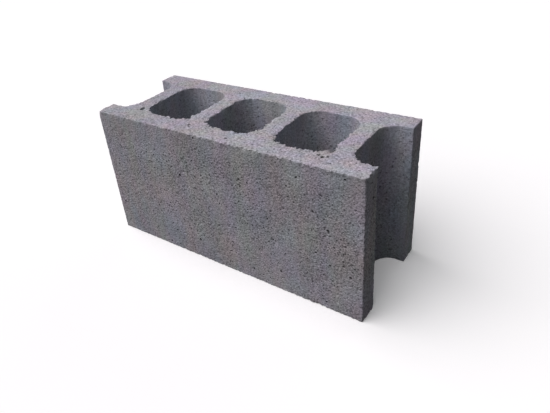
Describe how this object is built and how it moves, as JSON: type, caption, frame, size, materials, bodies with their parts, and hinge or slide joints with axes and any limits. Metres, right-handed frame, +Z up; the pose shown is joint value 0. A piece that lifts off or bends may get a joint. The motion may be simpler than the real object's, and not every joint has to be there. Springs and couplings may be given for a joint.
{
  "type": "hollow concrete block",
  "caption": "Hollow concrete masonry block with tapered, round-cornered cores running through it from bed to bed and an open half core at each end.",
  "frame": {"origin": "centre of the lower bed, where the block stands", "axes": "+X along the length, +Y through the thickness towards the far face, +Z up towards the upper bed, where the cores are widest"},
  "size_m": [0.39, 0.15, 0.19],
  "materials": {
    "concrete": "matt grey moulded concrete, fine open grain with small pores"
  },
  "bodies": {
    "root": {"block": "concrete"}
  },
  "joints": []
}
